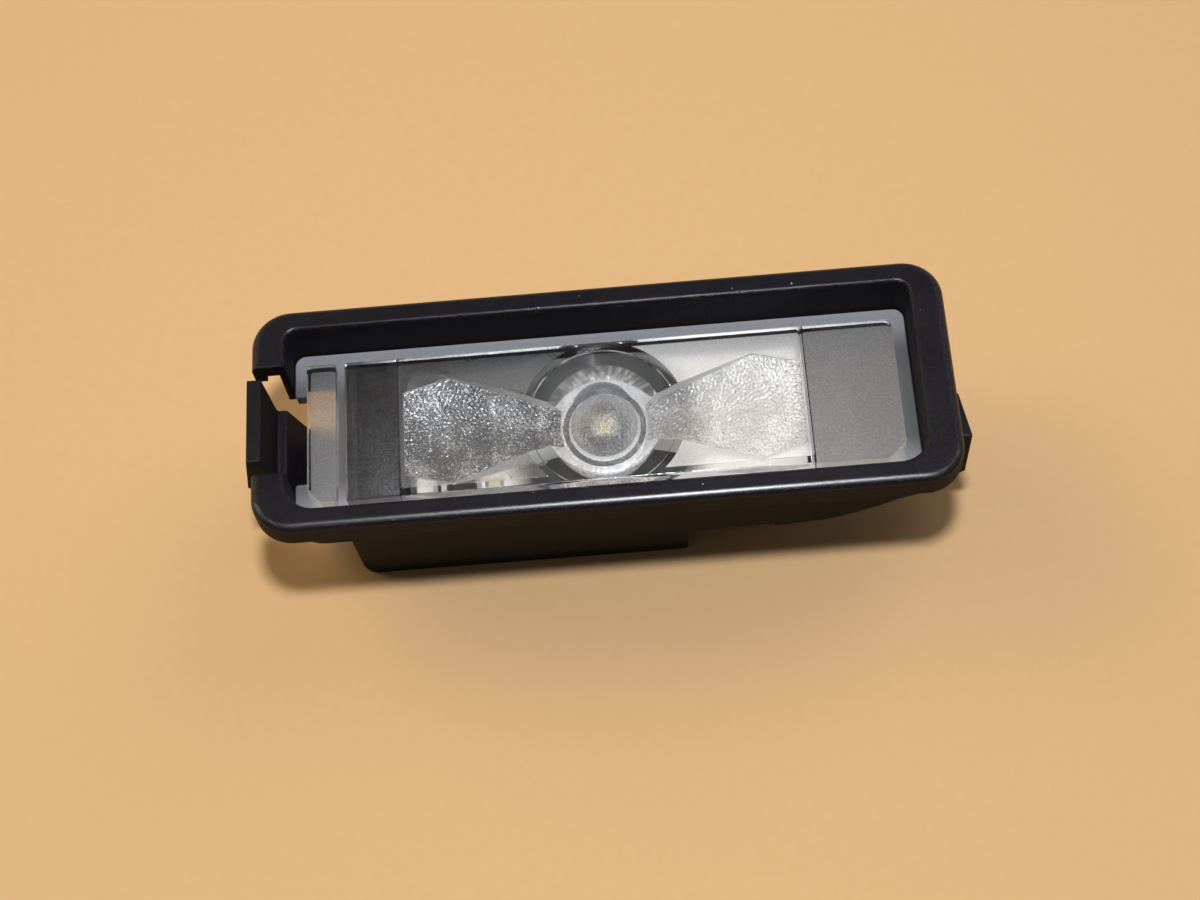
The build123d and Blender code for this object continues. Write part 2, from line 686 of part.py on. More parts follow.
pieces = {
    "housing": housing(),
    "lens": lens(),
    "circuit_board": circuit_board(),
    "led_package": led_package(),
    "led_phosphor": led_cup(),
    "led_lead_left": led_lead(-1),
    "led_lead_right": led_lead(1),
    "terminal_pin_near": terminal_pin(-1),
    "terminal_pin_far": terminal_pin(1),
    "solder_joint_near": solder_joint(-1),
    "solder_joint_far": solder_joint(1),
    "protection_diode": diode(),
    "filter_capacitor": capacitor(),
}
for number in range(RESISTOR_COUNT):
    pieces["resistor_" + str(number + 1)] = resistor(number)

for name, shape in pieces.items():
    export_step(shape, "parts/" + name + ".step")
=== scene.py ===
import math

import bpy
import numpy as np
from mathutils import Matrix, Vector


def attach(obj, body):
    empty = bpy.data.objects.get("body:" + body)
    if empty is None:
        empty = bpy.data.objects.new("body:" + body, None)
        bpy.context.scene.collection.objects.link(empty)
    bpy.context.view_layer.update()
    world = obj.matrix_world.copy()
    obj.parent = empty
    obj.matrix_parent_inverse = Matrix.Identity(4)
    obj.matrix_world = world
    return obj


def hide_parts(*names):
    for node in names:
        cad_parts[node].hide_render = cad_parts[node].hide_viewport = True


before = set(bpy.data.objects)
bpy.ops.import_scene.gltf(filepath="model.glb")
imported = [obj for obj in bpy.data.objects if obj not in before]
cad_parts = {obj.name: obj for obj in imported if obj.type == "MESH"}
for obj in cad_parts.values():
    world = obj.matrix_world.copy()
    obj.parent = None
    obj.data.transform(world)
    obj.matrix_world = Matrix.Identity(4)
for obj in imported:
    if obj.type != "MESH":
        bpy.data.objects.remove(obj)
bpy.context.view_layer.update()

# Housing
# One black moulding that carries everything: frame, well, body, sprung latch and nose.
# Glass-filled polyamide from a spark-eroded mould, so its face has a fine dull grain.
MM = 0.001


def put(tree, kind, values=(), **settings):
    """Adds one shader node; each value is set on the socket of that name, or linked to it."""
    made = tree.nodes.new("ShaderNode" + kind)
    for name, value in settings.items():
        setattr(made, name, value)
    for socket, value in dict(values).items():
        if isinstance(value, bpy.types.NodeSocket):
            tree.links.new(value, made.inputs[socket])
        else:
            made.inputs[socket].default_value = value
    return made


def reckon(tree, operation, *values):
    """One step of arithmetic on numbers and sockets."""
    return put(tree, "Math", dict(enumerate(values)), operation=operation).outputs[0]


def ramp(tree, value, start, end, low=0.0, high=1.0, smooth=False):
    """Goes from low to high while the value goes from start to end, and stays level beyond."""
    return put(tree, "MapRange", {"Value": value, "From Min": start, "From Max": end,
                                  "To Min": low, "To Max": high},
               interpolation_type="SMOOTHSTEP" if smooth else "LINEAR").outputs[0]


def mix(tree, share, first, second):
    """A colour that goes from the first to the second with the share."""
    return put(tree, "MixRGB", {"Fac": share, "Color1": first, "Color2": second}).outputs[0]


def bump(tree, height, strength, depth, **under):
    """The normal of a face with this height on it; the depth of the height is in mm."""
    return put(tree, "Bump", {"Height": height, "Strength": strength, "Distance": depth * MM,
                              **under}).outputs[0]


def effect(name, inputs):
    """Starts a node group with named inputs; gives its tree and what comes in."""
    tree = bpy.data.node_groups.new(name, "ShaderNodeTree")
    for socket, kind in inputs.items():
        tree.interface.new_socket(socket, in_out="INPUT", socket_type="NodeSocket" + kind)
    return tree, tree.nodes.new("NodeGroupInput").outputs


def close_effect(tree, outputs):
    """Ends a node group; each value worked out in it goes out under its name."""
    for socket in outputs:
        tree.interface.new_socket(socket, in_out="OUTPUT", socket_type="NodeSocketFloat")
    last = tree.nodes.new("NodeGroupOutput")
    for socket, value in outputs.items():
        tree.links.new(value, last.inputs[socket])


def place_effect(tree, group, values):
    """Puts a finished node group into a material with its own values."""
    return put(tree, "Group", values, node_tree=group).outputs


def finish_named(name):
    """An empty node material, its tree, and the place on the piece as coordinates."""
    made = bpy.data.materials.new(name)
    made.use_nodes = True
    made.node_tree.nodes.clear()
    return made, made.node_tree, put(made.node_tree, "TexCoord").outputs["Object"]


def cover(tree, values):
    """Gives an opaque material its one shader, with these values, as its surface."""
    skin = put(tree, "BsdfPrincipled", values)
    put(tree, "OutputMaterial", {"Surface": skin.outputs[0]})


def dress(node, material):
    """Gives a carried-over node its finish, in the slot that it already has."""
    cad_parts[node].material_slots[0].material = material


# Moulded grain: two sizes of rounded pits added up, and a slow mottle.
MOTTLE_PER_METRE = 260.0
FINE_DETAIL, MOTTLE_DETAIL = 2.0, 3.0

moulded_grain, given = effect("moulded_grain", {"Place": "Vector", "Pits Per Metre": "Float"})
pitch = {"Vector": given["Place"], "Scale": given["Pits Per Metre"]}
pits = put(moulded_grain, "TexVoronoi", pitch).outputs["Distance"]
fine = put(moulded_grain, "TexNoise", {**pitch, "Detail": FINE_DETAIL}).outputs["Fac"]
slow = put(moulded_grain, "TexNoise", {"Vector": given["Place"], "Scale": MOTTLE_PER_METRE,
                                       "Detail": MOTTLE_DETAIL}).outputs["Fac"]
close_effect(moulded_grain, {"Height": reckon(moulded_grain, "ADD", pits, fine), "Mottle": slow})

# Settled dust: a speck in the middle of a few cells, only where the face looks up.
SPECK_LEAST, SPECK_SPREAD = 0.018, 0.05
LOOKS_UP_FROM = 0.6

settled_dust, given = effect(
    "settled_dust", {"Place": "Vector", "Cells Per Metre": "Float", "Share": "Float"})
cells = put(settled_dust, "TexVoronoi",
            {"Vector": given["Place"], "Scale": given["Cells Per Metre"]}).outputs
draw = put(settled_dust, "SeparateColor", {"Color": cells["Color"]}).outputs
chosen = reckon(settled_dust, "LESS_THAN", draw["Red"], given["Share"])
reach = reckon(settled_dust, "MULTIPLY_ADD", draw["Green"], SPECK_SPREAD, SPECK_LEAST)
inside = reckon(settled_dust, "LESS_THAN", cells["Distance"], reach)
speck = reckon(settled_dust, "MULTIPLY", chosen, inside)
facing = put(settled_dust, "NewGeometry").outputs["True Normal"]
upwards = put(settled_dust, "SeparateXYZ", {0: facing}).outputs["Z"]
open_above = reckon(settled_dust, "GREATER_THAN", upwards, LOOKS_UP_FROM)
close_effect(settled_dust, {"Mask": reckon(settled_dust, "MULTIPLY", speck, open_above)})

# Lie of a face: its rounds, which slope between level and upright, the upper part of the rounds
# on the near side, where handling has polished them, and its upright sides.
LEVEL_FROM, LEVEL_LOST = 0.998, 0.985
UPRIGHT_FROM, UPRIGHT_LOST = 0.15, 0.4
SHOULDER_FROM, SHOULDER_FULL = 0.72, 0.88
NEAR_FROM, NEAR_FULL = -0.05, -0.15

lie_of_face, given = effect("lie_of_face", {"Normal": "Vector"})
outwards = put(lie_of_face, "SeparateXYZ", {0: given["Normal"]}).outputs
off_level = ramp(lie_of_face, outwards["Z"], LEVEL_FROM, LEVEL_LOST, smooth=True)
off_upright = ramp(lie_of_face, outwards["Z"], UPRIGHT_FROM, UPRIGHT_LOST, smooth=True)
high = ramp(lie_of_face, outwards["Z"], SHOULDER_FROM, SHOULDER_FULL, smooth=True)
near = ramp(lie_of_face, outwards["Y"], NEAR_FROM, NEAR_FULL)
handled = reckon(lie_of_face, "MULTIPLY", high, near)
close_effect(lie_of_face, {
    "Rounds": reckon(lie_of_face, "MULTIPLY", off_level, off_upright),
    "Shoulder": reckon(lie_of_face, "MULTIPLY", off_level, handled),
    "Upright": reckon(lie_of_face, "SUBTRACT", 1.0, off_upright),
})

HOUSING_BLACK = (0.0092, 0.0078, 0.0122, 1.0)
HOUSING_WORN = (0.0140, 0.0118, 0.0170, 1.0)
# Painted shade: the upright sides get a darker colour than the face.
HOUSING_SIDES_PAINTED_SHADE = (0.0040, 0.0030, 0.0060, 1.0)
DUST_GREY = (0.42, 0.40, 0.37, 1.0)
DUST_CELLS, DUST_SHARE = 620.0, 0.34
HOUSING_PITS, HOUSING_PIT_DEPTH, ROUNDS_ROUGHER = 5600.0, 0.022, 2.0
EDGE_RADIUS, EDGE_SAMPLES = 0.3, 3
SATIN_MOTTLE, DULL_MOTTLE = 0.3, 0.7
FACE_SATIN, FACE_DULL = 0.27, 0.33
ROUNDS_DULLNESS = (0.22, 0.22, 0.22, 1.0)
SIDES_DULLNESS = (0.75, 0.75, 0.75, 1.0)

black_plastic, tree, place = finish_named("black_plastic")
grain = place_effect(tree, moulded_grain, {"Place": place, "Pits Per Metre": HOUSING_PITS})
dust = place_effect(tree, settled_dust,
                    {"Place": place, "Cells Per Metre": DUST_CELLS, "Share": DUST_SHARE})
rounded = put(tree, "Bevel", {"Radius": EDGE_RADIUS * MM}, samples=EDGE_SAMPLES).outputs[0]
lie = place_effect(tree, lie_of_face, {"Normal": rounded})
tone = mix(tree, grain["Mottle"], HOUSING_BLACK, HOUSING_WORN)
# Painted shade: the upright sides are darkened.
tone = mix(tree, lie["Upright"], tone, HOUSING_SIDES_PAINTED_SHADE)
tone = mix(tree, dust["Mask"], tone, DUST_GREY)
dull = ramp(tree, grain["Mottle"], SATIN_MOTTLE, DULL_MOTTLE, FACE_SATIN, FACE_DULL)
dull = mix(tree, lie["Rounds"], dull, ROUNDS_DULLNESS)
dull = mix(tree, lie["Upright"], dull, SIDES_DULLNESS)
coarser = reckon(tree, "MULTIPLY_ADD", lie["Rounds"], ROUNDS_ROUGHER, 1.0)
pitted = reckon(tree, "MULTIPLY", grain["Height"], coarser)
cover(tree, {
    "Base Color": tone, "Roughness": dull, "IOR": 1.34,
    "Normal": bump(tree, pitted, strength=0.8, depth=HOUSING_PIT_DEPTH, Normal=rounded),
    "Coat Weight": lie["Shoulder"], "Coat Normal": rounded, "Coat Roughness": 0.27, "Coat IOR": 1.8,
})
dress("housing", black_plastic)

# Circuit board
# Glass-fibre laminate under grey solder resist, dropped over two posts that are staked hot.
# Round the light source the resist is painted dark, as painted shade under the bowl; white is printed to
# its right and beside the chips, and the print fades out towards the bowl as painted shade.
# Copper tracks show as faint raised lines.

# A flat rectangle on the board: one inside its half sizes, with a soft edge.
PATCH_SOFT = 0.05

flat_patch, given = effect("flat_patch", {"Place": "Vector", "Centre": "Vector", "Half": "Vector"})
away = put(flat_patch, "VectorMath", {0: given["Place"], 1: given["Centre"]}, operation="SUBTRACT")
plain = put(flat_patch, "VectorMath", {0: away.outputs[0]}, operation="ABSOLUTE")
room = put(flat_patch, "VectorMath", {0: given["Half"], 1: plain.outputs[0]}, operation="SUBTRACT")
axes = put(flat_patch, "SeparateXYZ", {0: room.outputs[0]}).outputs
least = reckon(flat_patch, "MINIMUM", axes["X"], axes["Y"])
close_effect(flat_patch, {"Mask": ramp(flat_patch, least, 0.0, PATCH_SOFT * MM)})


def patch_mask(tree, place, centre, half):
    """One inside a flat rectangle and zero outside; its middle and half sizes are in mm."""
    return place_effect(tree, flat_patch, {
        "Place": place, "Centre": (centre[0] * MM, centre[1] * MM, 0.0),
        "Half": (half[0] * MM, half[1] * MM, 0.0)})["Mask"]


RESIST_GREY = (0.060, 0.062, 0.055, 1.0)
RESIST_MOTTLE = (0.046, 0.047, 0.042, 1.0)
RESIST_PAINTED_SHADE = (0.014, 0.014, 0.013, 1.0)
TRACK_GREY = (0.095, 0.093, 0.080, 1.0)
PRINT_WHITE = (0.76, 0.74, 0.68, 1.0)
WEAVE_PITS, WEAVE_SHARE, TRACK_DEPTH = 2300.0, 0.1, 0.035
SHADE_RADIUS, SHADE_SOFT = 9.3, 0.1
PRINT_SHADED_WITHIN, PRINT_UNSHADED_BEYOND = 8.8, 12.6
PRINTED = [((11.5, 0.0), (11.5, 8.6)), ((-13.6, -5.2), (7.2, 2.4))]
TRACKS = [
    ((-7.4, 6.9), (6.4, 0.5)),
    ((7.6, 7.2), (7.2, 0.7)),
    ((-14.4, 0.0), (0.4, 7.1)),
    ((16.2, 1.4), (0.6, 6.3)),
    ((-8.6, -7.5), (6.2, 0.45)),
    ((5.6, -1.2), (3.9, 0.5)),
]

board_laminate, tree, place = finish_named("board_laminate")
weave = place_effect(tree, moulded_grain, {"Place": place, "Pits Per Metre": WEAVE_PITS})
copper = 0.0
for centre, half in TRACKS:
    copper = reckon(tree, "MAXIMUM", copper, patch_mask(tree, place, centre, half))
lift = reckon(tree, "MULTIPLY_ADD", weave["Height"], WEAVE_SHARE, copper)
level_place = put(tree, "VectorMath", {0: place, 1: (1.0, 1.0, 0.0)}, operation="MULTIPLY").outputs[0]
from_light = put(tree, "VectorMath", {0: level_place}, operation="LENGTH").outputs["Value"]
# Painted shade: a dark disc on the board round the light source, where the bowl shades it.
out_of_painted_shade = ramp(tree, from_light, SHADE_RADIUS * MM, (SHADE_RADIUS + SHADE_SOFT) * MM)
# Painted shade: the white print fades out towards the bowl.
print_out_of_shade = ramp(tree, from_light, PRINT_SHADED_WITHIN * MM, PRINT_UNSHADED_BEYOND * MM, smooth=True)
tone = mix(tree, copper, RESIST_GREY, TRACK_GREY)
tone = mix(tree, weave["Mottle"], tone, RESIST_MOTTLE)
tone = mix(tree, out_of_painted_shade, RESIST_PAINTED_SHADE, tone)
for centre, half in PRINTED:
    inked_and_unshaded = reckon(tree, "MULTIPLY", patch_mask(tree, place, centre, half), print_out_of_shade)
    tone = mix(tree, inked_and_unshaded, tone, PRINT_WHITE)
cover(tree, {"Base Color": tone, "Roughness": 0.42,
             "Normal": bump(tree, lift, strength=0.6, depth=TRACK_DEPTH)})
dress("circuit_board", board_laminate)

# Light source
# White moulded package with a cup of yellow phosphor, on two folded tinned leads.
# It is soldered flat on the board under the bell of the lens.
PACKAGE_WHITE, PACKAGE_AGED = (0.83, 0.82, 0.78, 1.0), (0.74, 0.73, 0.68, 1.0)
PHOSPHOR_YELLOW, PHOSPHOR_PALE = (0.82, 0.70, 0.24, 1.0), (0.86, 0.78, 0.42, 1.0)
TIN_BRIGHT, TIN_DULL = (0.66, 0.65, 0.62, 1.0), (0.50, 0.49, 0.46, 1.0)
PACKAGE_PITS, PACKAGE_PIT_DEPTH = 9000.0, 0.006
PHOSPHOR_GRAINS = 14000.0
TIN_LINES, TIN_LINE_DEPTH, TIN_DRAWN = 12000.0, 0.004, (0.12, 1.0, 1.0)
TIN_LEAST_DULL, TIN_MOST_DULL = 0.2, 0.36

white_package, tree, place = finish_named("white_package")
grain = place_effect(tree, moulded_grain, {"Place": place, "Pits Per Metre": PACKAGE_PITS})
tone = mix(tree, grain["Mottle"], PACKAGE_WHITE, PACKAGE_AGED)
cover(tree, {"Base Color": tone, "Roughness": 0.38,
             "Normal": bump(tree, grain["Height"], strength=0.3, depth=PACKAGE_PIT_DEPTH)})
dress("led_package", white_package)

phosphor, tree, place = finish_named("phosphor")
grain = place_effect(tree, moulded_grain, {"Place": place, "Pits Per Metre": PHOSPHOR_GRAINS})
tone = mix(tree, grain["Height"], PHOSPHOR_YELLOW, PHOSPHOR_PALE)
cover(tree, {"Base Color": tone, "Roughness": 0.22, "Coat Weight": 0.5})
dress("led_phosphor", phosphor)

tinned_metal, tree, place = finish_named("tinned_metal")
drawn_out = put(tree, "Mapping", {"Vector": place, "Scale": TIN_DRAWN}).outputs[0]
drawn = place_effect(tree, moulded_grain, {"Place": drawn_out, "Pits Per Metre": TIN_LINES})
tone = mix(tree, drawn["Mottle"], TIN_BRIGHT, TIN_DULL)
dull = ramp(tree, drawn["Mottle"], 0.0, 1.0, TIN_LEAST_DULL, TIN_MOST_DULL)
cover(tree, {"Base Color": tone, "Metallic": 1.0, "Roughness": dull,
             "Normal": bump(tree, drawn["Height"], strength=0.3, depth=TIN_LINE_DEPTH)})
for node in ("led_lead_left", "led_lead_right"):
    dress(node, tinned_metal)

# Terminal pins and their solder
# Two square tinned pins, bent once, pushed down through the board into the plug socket.
# A collar of solder wets each pin where it comes through.
SOLDER_BRIGHT, SOLDER_DULL = (0.70, 0.70, 0.70, 1.0), (0.56, 0.56, 0.55, 1.0)
SOLDER_PITS, SOLDER_PIT_DEPTH = 5000.0, 0.01

for node in ("terminal_pin_near", "terminal_pin_far"):
    dress(node, tinned_metal)

solder, tree, place = finish_named("solder")
grain = place_effect(tree, moulded_grain, {"Place": place, "Pits Per Metre": SOLDER_PITS})
tone = mix(tree, grain["Mottle"], SOLDER_BRIGHT, SOLDER_DULL)
cover(tree, {"Base Color": tone, "Metallic": 1.0, "Roughness": 0.18,
             "Normal": bump(tree, grain["Height"], strength=0.4, depth=SOLDER_PIT_DEPTH)})
for node in ("solder_joint_near", "solder_joint_far"):
    dress(node, solder)

# Chip parts
# Four chip resistors in a row, a moulded diode and a ceramic capacitor, all soldered flat.
# Each chip has a metal cap at both ends; the diode has a printed band at one end.
RESISTOR_BLACK, RESISTOR_X, RESISTOR_HALF = (0.035, 0.034, 0.036, 1.0), -13.2, 1.15
CERAMIC_CREAM, CERAMIC_X, CERAMIC_HALF = (0.62, 0.53, 0.36, 1.0), -12.2, 0.62
CHIP_PITS, CHIP_PIT_DEPTH, CHIP_MOTTLE = 11000.0, 0.006, 0.7
ANY_WIDTH = 1000.0
DIODE_BLACK, DIODE_BAND = (0.02, 0.02, 0.021, 1.0), (0.55, 0.55, 0.53, 1.0)
DIODE_PITS, DIODE_PIT_DEPTH = 8000.0, 0.01
BODY_CENTRE, BODY_HALF = (-16.3, -4.5), (2.16, 3.0)
BAND_CENTRE, BAND_HALF = (-17.7, -4.5), (0.32, 1.2)


def capped_chip(name, body, centre, half_body, dullness):
    """A chip's finish: body colour between its two tinned caps, found along its length."""
    made, tree, place = finish_named(name)
    grain = place_effect(tree, moulded_grain, {"Place": place, "Pits Per Metre": CHIP_PITS})
    middle = patch_mask(tree, place, (centre, 0.0), (half_body, ANY_WIDTH))
    darker = tuple(CHIP_MOTTLE * channel for channel in body[:3]) + (1.0,)
    tone = mix(tree, middle, TIN_BRIGHT, mix(tree, grain["Mottle"], body, darker))
    cover(tree, {"Base Color": tone, "Roughness": dullness,
                 "Metallic": reckon(tree, "SUBTRACT", 1.0, middle),
                 "Normal": bump(tree, grain["Height"], strength=0.4, depth=CHIP_PIT_DEPTH)})
    return made


resistor_film = capped_chip("resistor_film", RESISTOR_BLACK, RESISTOR_X, RESISTOR_HALF, dullness=0.3)
for number in range(1, 5):
    dress("resistor_" + str(number), resistor_film)
capacitor_ceramic = capped_chip(
    "capacitor_ceramic", CERAMIC_CREAM, CERAMIC_X, CERAMIC_HALF, dullness=0.35)
dress("filter_capacitor", capacitor_ceramic)

black_component, tree, place = finish_named("black_component")
grain = place_effect(tree, moulded_grain, {"Place": place, "Pits Per Metre": DIODE_PITS})
band = patch_mask(tree, place, BAND_CENTRE, BAND_HALF)
middle = patch_mask(tree, place, BODY_CENTRE, BODY_HALF)
tone = mix(tree, middle, TIN_DULL, mix(tree, band, DIODE_BLACK, DIODE_BAND))
cover(tree, {"Base Color": tone, "Roughness": 0.45,
             "Metallic": reckon(tree, "SUBTRACT", 1.0, middle),
             "Normal": bump(tree, grain["Height"], strength=0.5, depth=DIODE_PIT_DEPTH)})
dress("protection_diode", black_component)

# Lens
# One clear polycarbonate moulding, welded by its flange to the ledge of the well.
# Polished blocks in front; behind them a bowl, two stippled wings and a bell over the light.
SEAT, FLANGE_TOP, BLOCK_TOP = 11.2, 12.7, 14.3

CLEAR_TINT, CLEAR_SHADE = (0.970, 0.970, 0.960, 1.0), (0.955, 0.955, 0.945, 1.0)
FROST_TINT, FROST_PITS = (0.93, 0.93, 0.97, 1.0), (0.72, 0.72, 0.76, 1.0)
# Painted shade for the frosted flange, darker towards its long axis.
FROST_PAINTED_SHADE = (0.26, 0.26, 0.28, 1.0)
GRAIN_TINT, GRAIN_PITS = (0.98, 0.97, 0.96, 1.0), (0.28, 0.27, 0.27, 1.0)
PAINTED_LIGHT_PITS = (0.52, 0.51, 0.50, 1.0)
MATT_SHADE_TINT, MATT_SHADE_PITS = (0.62, 0.58, 0.56, 1.0), (0.20, 0.18, 0.17, 1.0)
HAZE_TINT, HAZE_PITS = (0.78, 0.75, 0.73, 1.0), (0.50, 0.48, 0.46, 1.0)
EDGE_TINT, EDGE_PITS = (0.97, 0.97, 0.96, 1.0), (0.84, 0.84, 0.83, 1.0)
PIT_SHALLOW, PIT_DEEP, LENS_PIT_DEPTH = 0.5, 1.1, 0.006
MOTTLE_MEAN = 0.5
LESS_DULL, MORE_DULL = 0.8, 1.2
SHADE_MIDDLE = 0.5


def clear_finish(name, tint, pitted, clearness, dullness, frost, shade,
                 pits=7000.0, cloud=0.0, shade_half=0.0):
    """Clear plastic that bends light, and lets a share of the lamps' light through behind it.

    Its colour goes from the tint to the darker one of the pits with the height of the grain,
    to which cloud adds that many times the mottle.
    Nearer to the long axis than the given half width, in mm, its colour is darkened by and by: painted
    shade.
    """
    made, tree, place = finish_named(name)
    grain = place_effect(tree, moulded_grain, {"Place": place, "Pits Per Metre": pits})
    cloudy = reckon(tree, "MULTIPLY_ADD", grain["Mottle"], cloud, grain["Height"])
    deep = ramp(tree, cloudy, PIT_SHALLOW + MOTTLE_MEAN * cloud, PIT_DEEP + MOTTLE_MEAN * cloud)
    tone = mix(tree, deep, tint, pitted)
    if shade_half:
        across = put(tree, "SeparateXYZ", {0: place}).outputs["Y"]
        far_off = reckon(tree, "ABSOLUTE", across)
        out_of_shade = ramp(tree, far_off, SHADE_MIDDLE * shade_half * MM, shade_half * MM, smooth=True)
        tone = mix(tree, out_of_shade, FROST_PAINTED_SHADE, tone)
    dull = ramp(tree, grain["Mottle"], 0.0, 1.0, LESS_DULL * dullness, MORE_DULL * dullness)
    skin = put(tree, "BsdfPrincipled", {
        "Base Color": tone, "Roughness": dull, "IOR": 1.585, "Transmission Weight": clearness,
        "Normal": bump(tree, grain["Height"], strength=frost, depth=LENS_PIT_DEPTH)})
    open_to_lamps = put(tree, "BsdfTransparent", {"Color": (shade, shade, shade, 1.0)})
    shadow = put(tree, "LightPath").outputs["Is Shadow Ray"]
    both = put(tree, "MixShader", {0: shadow, 1: skin.outputs[0], 2: open_to_lamps.outputs[0]})
    put(tree, "OutputMaterial", {"Surface": both.outputs[0]})
    return made


LENS_FINISHES = [
    clear_finish("clear_lens", CLEAR_TINT, CLEAR_SHADE,
                 clearness=1.0, dullness=0.012, frost=0.03, shade=0.95),
    # The frosted flange is darkened towards its long axis: painted shade.
    clear_finish("clear_lens_frosted", FROST_TINT, FROST_PITS,
                 clearness=0.52, dullness=0.22, frost=0.4, shade=0.7, shade_half=9.4),
    clear_finish("clear_lens_grained", GRAIN_TINT, GRAIN_PITS,
                 clearness=0.74, dullness=0.24, frost=0.6, shade=0.6, pits=4200.0, cloud=2.3),
    # A darker copy of the spark-eroded back, for the left pad: painted shade.
    clear_finish("clear_lens_matt_painted_shade", MATT_SHADE_TINT, MATT_SHADE_PITS,
                 clearness=0.95, dullness=0.24, frost=0.8, shade=0.6, pits=3600.0),
    clear_finish("clear_lens_haze", HAZE_TINT, HAZE_PITS,
                 clearness=0.92, dullness=0.28, frost=0.5, shade=0.6, pits=3600.0),
    clear_finish("clear_lens_optic", CLEAR_TINT, CLEAR_SHADE,
                 clearness=1.0, dullness=0.015, frost=0.03, shade=0.45),
    clear_finish("clear_lens_edge", EDGE_TINT, EDGE_PITS,
                 clearness=0.3, dullness=0.3, frost=0.3, shade=0.6),
    clear_finish("clear_lens_bell", GRAIN_TINT, GRAIN_PITS,
                 clearness=0.72, dullness=0.55, frost=0.8, shade=0.6, pits=4200.0),
    clear_finish("clear_lens_satin", HAZE_TINT, HAZE_PITS,
                 clearness=0.86, dullness=0.46, frost=0.8, shade=0.6, pits=3600.0),
    # Paler, milkier copies for the right pad, the right middle and the right wing: painted light.
    clear_finish("clear_lens_pale_painted_light", HAZE_TINT, HAZE_PITS,
                 clearness=0.70, dullness=0.34, frost=0.8, shade=0.6, pits=4600.0),
    clear_finish("clear_lens_milky_painted_light", EDGE_TINT, HAZE_TINT,
                 clearness=0.52, dullness=0.34, frost=0.6, shade=0.6, pits=4600.0),
    clear_finish("clear_lens_bright_painted_light", GRAIN_TINT, PAINTED_LIGHT_PITS,
                 clearness=0.60, dullness=0.26, frost=0.6, shade=0.6, pits=4200.0, cloud=1.8),
]
(POLISHED, FROSTED, GRAINED, MATT_PAINTED_SHADE, HAZE, OPTIC,
 EDGE, BELL, SATIN, PALE_PAINTED_LIGHT, MILKY_PAINTED_LIGHT, BRIGHT_PAINTED_LIGHT) = range(len(LENS_FINISHES))


def rounded_outline(corners, radii, steps=9):
    """Points and outward normals round a polygon whose corners are arcs.

    At each corner the outward normal turns evenly from one side's normal to the next one's.
    The arc's centre lies one radius inside the first side, and the points stand one radius out.
    """
    corners, radii = np.asarray(corners, float), np.asarray(radii, float)[:, None]
    ahead = np.roll(corners, -1, 0) - corners
    ahead /= np.linalg.norm(ahead, axis=1, keepdims=True)
    before = np.roll(ahead, 1, 0)
    start = np.arctan2(-before[:, :1], before[:, 1:])
    turn = np.arctan2(before[:, :1] * ahead[:, 1:] - before[:, 1:] * ahead[:, :1],
                      np.sum(before * ahead, 1, keepdims=True))
    side = np.sign(turn)
    first_normal = np.concatenate([before[:, 1:], -before[:, :1]], 1)
    centre = corners - before * radii * np.tan(np.abs(turn) / 2) - side * radii * first_normal
    angle = start + turn * np.linspace(0.0, 1.0, steps)
    normal = np.stack([np.cos(angle), np.sin(angle)], -1)
    points = centre[:, None] + (side * radii)[:, None] * normal
    return points.reshape(-1, 2), normal.reshape(-1, 2)


def ring_faces(rings, around):
    """Quads between each ring of points and the next, all the way round."""
    low = np.arange(rings - 1)[:, None] * around + np.arange(around)
    low_next = np.arange(rings - 1)[:, None] * around + np.roll(np.arange(around), -1)
    return np.stack([low, low_next, low_next + around, low + around], -1).reshape(-1, 4).tolist()


def closed_piece(name, grid, around_finish=POLISHED, low_finish=POLISHED, high_finish=POLISHED):
    """A closed mesh of stacked rings (rings, around, xyz in mm), with a flat face at each end.

    The finish numbers choose among the lens's finishes; the rings' may be one for each face.
    """
    rings, around = grid.shape[:2]
    faces = ring_faces(rings, around)
    faces.append(list(range(around))[::-1])
    faces.append(list(range((rings - 1) * around, rings * around)))
    mesh = bpy.data.meshes.new(name)
    mesh.from_pydata(grid.reshape(-1, 3) * MM, [], faces)
    for finish in LENS_FINISHES:
        mesh.materials.append(finish)
    chosen = np.broadcast_to(around_finish, (rings - 1, around)).ravel()
    chosen = np.append(chosen, [low_finish, high_finish]).astype(np.int32)
    mesh.polygons.foreach_set("material_index", chosen)
    made = bpy.data.objects.new(name, mesh)
    bpy.context.collection.objects.link(made)
    return made


def pressed_block(name, corners, radii, low, high, edge, edge_steps=6, **finishes):
    """An outline carried upwards: the rings draw in by a quarter circle at the top edge."""
    points, normal = rounded_outline(corners, radii)
    arc = np.linspace(0.0, math.pi / 2, edge_steps)
    inset = np.concatenate([[0.0], edge * (1.0 - np.cos(arc))])
    height = np.concatenate([[low], high - edge + edge * np.sin(arc)])
    flat = points[None] - inset[:, None, None] * normal[None]
    rise = np.broadcast_to(height[:, None, None], flat.shape[:2] + (1,))
    return closed_piece(name, np.concatenate([flat, rise], -1), **finishes)


def turned_piece(name, profile, around, **finishes):
    """A profile of radius and height, carried round the upright axis of the light source."""
    profile = np.asarray(profile, float)
    angle = np.linspace(0.0, 2 * math.pi, around, endpoint=False)
    radius, height = profile[:, :1], profile[:, 1:]
    grid = np.stack([radius * np.cos(angle), radius * np.sin(angle), height + 0.0 * angle], -1)
    return closed_piece(name, grid, **finishes)


